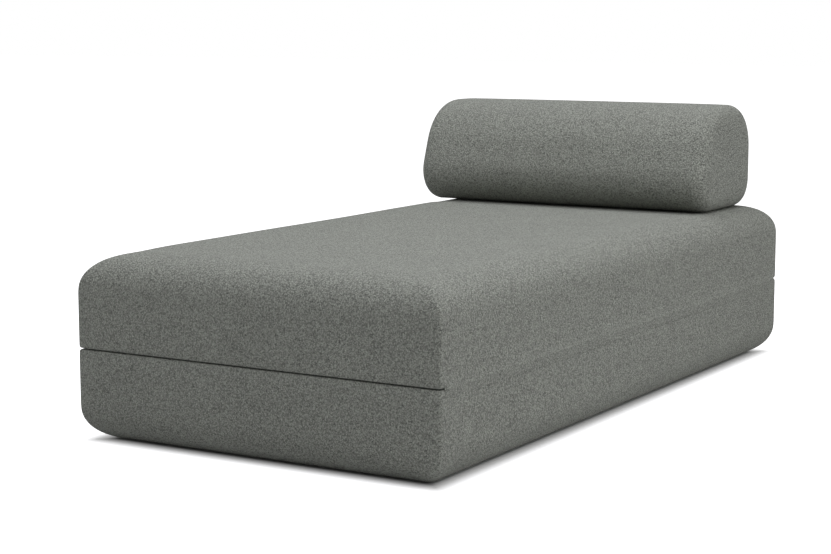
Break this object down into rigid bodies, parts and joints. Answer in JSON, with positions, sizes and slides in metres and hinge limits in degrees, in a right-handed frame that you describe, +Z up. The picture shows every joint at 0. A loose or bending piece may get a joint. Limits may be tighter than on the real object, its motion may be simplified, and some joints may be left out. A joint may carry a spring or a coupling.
{
  "type": "futon sofa bed",
  "caption": "Low fold-out sofa bed: stacked foam mattresses in grey fabric, joined along a long side and opening flat, with a loose D-shaped bolster.",
  "frame": {"origin": "centre of the footprint, on the floor", "axes": "+Z up; +Y along the mattress from its foot end to the head end with the bolster; +X across, towards the long side with the fold"},
  "size_m": [0.9394, 1.9, 0.7053],
  "materials": {
    "cover_fabric": "matte",
    "antislip_fabric": "matte",
    "wadding": "matte",
    "firm_foam": "matte",
    "soft_foam": "matte",
    "zip_tape": "matte",
    "zip_teeth": "satin",
    "zip_metal": "satin"
  },
  "bodies": {
    "lower_mattress": {"lower_cover": "cover_fabric", "lower_sleep_panel": "cover_fabric", "lower_antislip_base": "antislip_fabric", "lower_wadding": "wadding", "lower_support_foam": "firm_foam", "lower_comfort_foam": "soft_foam", "lower_hinge_leaf": "cover_fabric", "lower_zip_tape": "zip_tape", "lower_zip_teeth": "zip_teeth"},
    "upper_mattress": {"upper_cover": "cover_fabric", "upper_sleep_panel": "cover_fabric", "upper_wadding": "wadding", "upper_support_foam": "firm_foam", "upper_comfort_foam": "soft_foam", "upper_seat_foam": "soft_foam", "upper_hinge_leaf": "cover_fabric", "upper_zip_tape": "zip_tape", "upper_zip_teeth": "zip_teeth"},
    "bolster": {"bolster_wrap": "cover_fabric", "bolster_left_end": "cover_fabric", "bolster_right_end": "cover_fabric", "bolster_wadding": "wadding", "bolster_foam": "firm_foam", "bolster_zip_tape": "zip_tape", "bolster_zip_teeth": "zip_teeth"},
    "lower_slider": {"lower_zip_slider": "zip_metal"},
    "lower_puller": {"lower_zip_puller": "zip_metal"},
    "upper_slider": {"upper_zip_slider": "zip_metal"},
    "upper_puller": {"upper_zip_puller": "zip_metal"},
    "bolster_slider": {"bolster_zip_slider": "zip_metal"},
    "bolster_puller": {"bolster_zip_puller": "zip_metal"}
  },
  "joints": [
    {"name": "fold", "type": "hinge", "parent": "lower_mattress", "child": "upper_mattress", "pos_m": [0.47, 0, 0.21], "axis": [0, 1, 0], "range_deg": [0, 180]},
    {"name": "bolster_clear", "type": "hinge", "parent": "upper_mattress", "child": "bolster", "pos_m": [0, 0.95, 0.42], "axis": [-1, 0, 0], "range_deg": [0, 180]},
    {"name": "lower_zip", "type": "slide", "parent": "lower_mattress", "child": "lower_slider", "axis": [1, 0, 0], "range_m": [0, 0.722]},
    {"name": "lower_zip_tab", "type": "hinge", "parent": "lower_slider", "child": "lower_puller", "pos_m": [-0.374, 0.9473, 0.141], "axis": [0, 0, 1], "range_deg": [0, 150]},
    {"name": "upper_zip", "type": "slide", "parent": "upper_mattress", "child": "upper_slider", "axis": [1, 0, 0], "range_m": [0, 0.722]},
    {"name": "upper_zip_tab", "type": "hinge", "parent": "upper_slider", "child": "upper_puller", "pos_m": [-0.374, 0.9473, 0.279], "axis": [0, 0, 1], "range_deg": [0, 150]},
    {"name": "bolster_zip", "type": "slide", "parent": "bolster", "child": "bolster_slider", "axis": [1, 0, 0], "range_m": [0, 0.642]},
    {"name": "bolster_zip_tab", "type": "hinge", "parent": "bolster_slider", "child": "bolster_puller", "pos_m": [-0.3647, 0.8973, 0.5453], "axis": [0, 0, 1], "range_deg": [0, 150]}
  ],
  "couplings": [
    {"joint": "bolster_clear", "follows": "fold", "ratio": 1}
  ]
}
